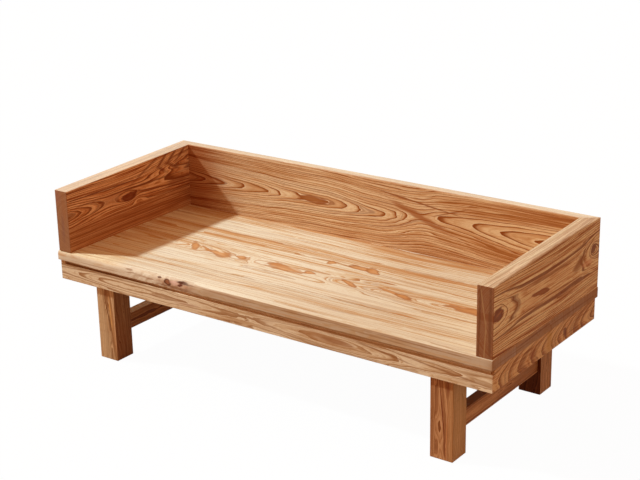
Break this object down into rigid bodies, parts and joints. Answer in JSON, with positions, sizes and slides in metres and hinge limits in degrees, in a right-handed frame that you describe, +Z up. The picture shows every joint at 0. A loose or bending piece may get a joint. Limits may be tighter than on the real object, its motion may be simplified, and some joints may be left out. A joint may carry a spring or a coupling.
{
  "type": "luohan daybed",
  "caption": "Low wooden daybed with a plank seat, solid slab arms and back on three sides, an apron ring, square legs and low side stretchers.",
  "frame": {"origin": "centre of the seat's footprint, on the floor under the feet", "axes": "+X along the length of the bed, towards the sitter's left; +Y towards the back panel; +Z up"},
  "size_m": [2, 0.8, 0.707],
  "materials": {
    "seat_wood": "oiled satin, pale straight-grained planks with orange-brown streaks",
    "arm_wood": "oiled satin, figured slab with brown cathedral grain",
    "back_wood": "oiled satin, figured slab with brown cathedral grain",
    "apron_wood": "oiled satin, straight and wavy grain",
    "leg_wood": "oiled satin, upright grain",
    "frame_wood": "planed, unoiled, hidden under the seat",
    "joint_wood": "planed, hidden in the joints"
  },
  "bodies": {
    "root": {"seat_plank_1": "seat_wood", "seat_plank_2": "seat_wood", "seat_plank_3": "seat_wood", "seat_plank_4": "seat_wood", "seat_plank_5": "seat_wood", "arm_left": "arm_wood", "arm_right": "arm_wood", "back_panel": "back_wood", "apron_front": "apron_wood", "apron_rear": "apron_wood", "apron_left": "apron_wood", "apron_right": "apron_wood", "leg_front_left": "leg_wood", "leg_rear_left": "leg_wood", "leg_front_right": "leg_wood", "leg_rear_right": "leg_wood", "stretcher_left": "leg_wood", "stretcher_right": "leg_wood", "bearer_left": "frame_wood", "bearer_right": "frame_wood", "batten_1": "frame_wood", "batten_2": "frame_wood", "batten_3": "frame_wood", "batten_4": "frame_wood", "batten_5": "frame_wood", "corner_block_front_left": "frame_wood", "corner_block_rear_left": "frame_wood", "corner_block_front_right": "frame_wood", "corner_block_rear_right": "frame_wood", "back_keys": "joint_wood", "arm_left_keys": "joint_wood", "arm_right_keys": "joint_wood", "corner_spline_left": "joint_wood", "corner_spline_right": "joint_wood", "stretcher_pegs": "joint_wood", "bearer_pegs": "joint_wood", "apron_dowels": "joint_wood"}
  },
  "joints": []
}
